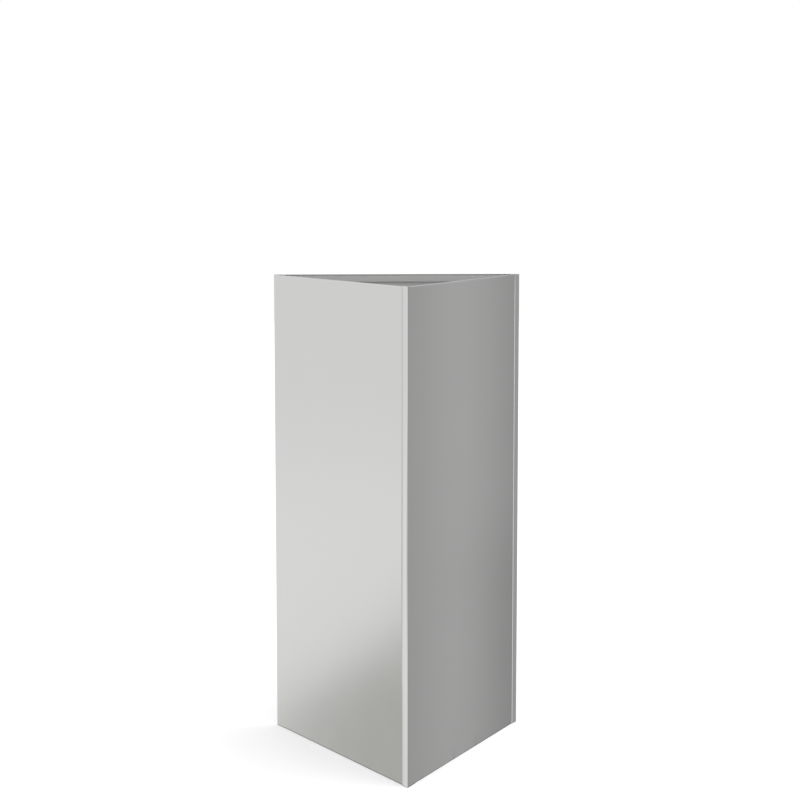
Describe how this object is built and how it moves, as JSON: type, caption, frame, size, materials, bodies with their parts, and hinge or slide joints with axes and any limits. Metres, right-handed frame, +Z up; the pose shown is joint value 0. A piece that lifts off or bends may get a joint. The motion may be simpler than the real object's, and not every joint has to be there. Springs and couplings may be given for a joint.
{
  "type": "triangular planter",
  "caption": "Tall floor planter with a triangular plan: folded satin stainless panels that wrap round the corners and are screwed together inside, with a lift-out base tray.",
  "frame": {"origin": "on the floor, at the middle of the box round the planter", "axes": "+Z up; -Y towards the front corner; the rear panel runs along X"},
  "size_m": [0.3997, 0.3472, 0.75],
  "materials": {
    "panel_stainless": "satin rolled stainless sheet with soft, blurred reflections",
    "tray_stainless": "plain rolled stainless sheet, a little duller than the panels",
    "screw_stainless": "tumbled stainless button-head screws",
    "washer_stainless": "stamped stainless washers",
    "nut_stainless": "turned stainless press-in nuts"
  },
  "bodies": {
    "shell": {"panel_left": "panel_stainless", "panel_right": "panel_stainless", "panel_rear": "panel_stainless", "corner_screws_front": "screw_stainless", "corner_screws_left": "screw_stainless", "corner_screws_right": "screw_stainless", "corner_washers_front": "washer_stainless", "corner_washers_left": "washer_stainless", "corner_washers_right": "washer_stainless", "corner_nuts_front": "nut_stainless", "corner_nuts_left": "nut_stainless", "corner_nuts_right": "nut_stainless"},
    "tray": {"base_tray": "tray_stainless"}
  },
  "joints": [
    {"name": "tray_lift", "type": "slide", "parent": "shell", "child": "tray", "axis": [0, 0, 1], "range_m": [0, 0.76]}
  ]
}
